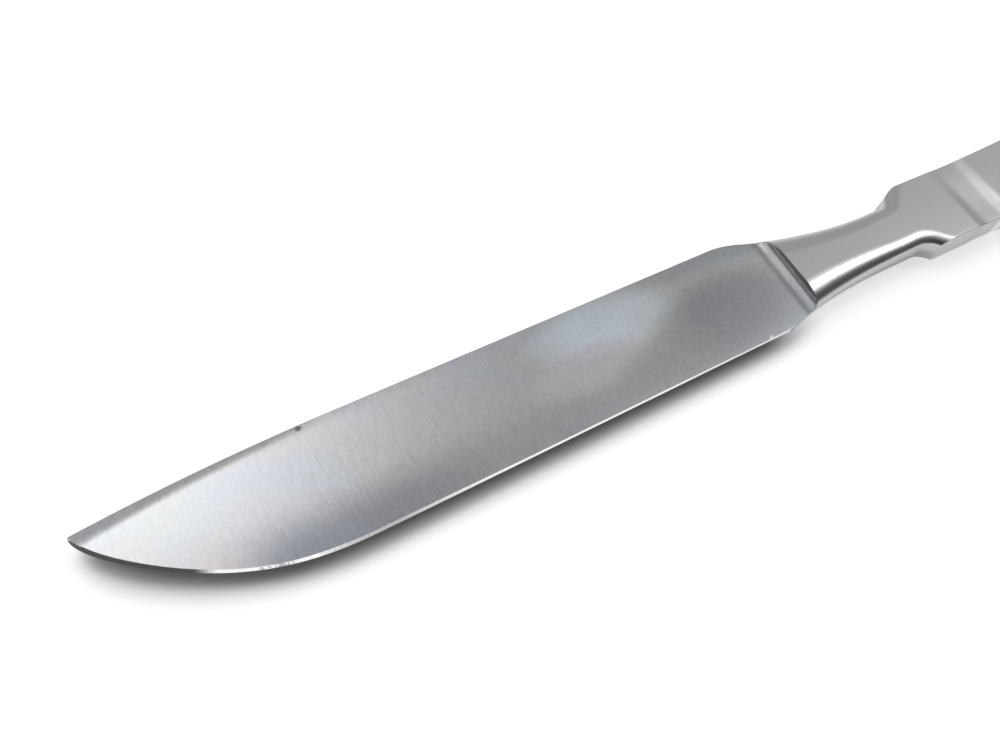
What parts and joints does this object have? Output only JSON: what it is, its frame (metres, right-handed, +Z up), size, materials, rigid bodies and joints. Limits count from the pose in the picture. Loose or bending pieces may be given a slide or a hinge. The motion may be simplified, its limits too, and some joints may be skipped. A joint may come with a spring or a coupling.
{
  "type": "amputation knife",
  "caption": "Small surgical amputation knife forged in one piece: a long straight-backed blade with a curved belly, a stepped bolster, a waisted neck and a flat steel handle with a thumb dip",
  "frame": {"origin": "centre of the footprint, on the surface that the knife lies on", "axes": "+X from the point of the blade to the butt of the handle, +Y from the cutting edge to the spine, +Z up through the knife's thickness"},
  "size_m": [0.25, 0.0209, 0.0058],
  "materials": {
    "satin_steel": "stainless steel, ground satin across the blade and softly polished on the neck and handle"
  },
  "bodies": {
    "root": {"knife": "satin_steel"}
  },
  "joints": []
}
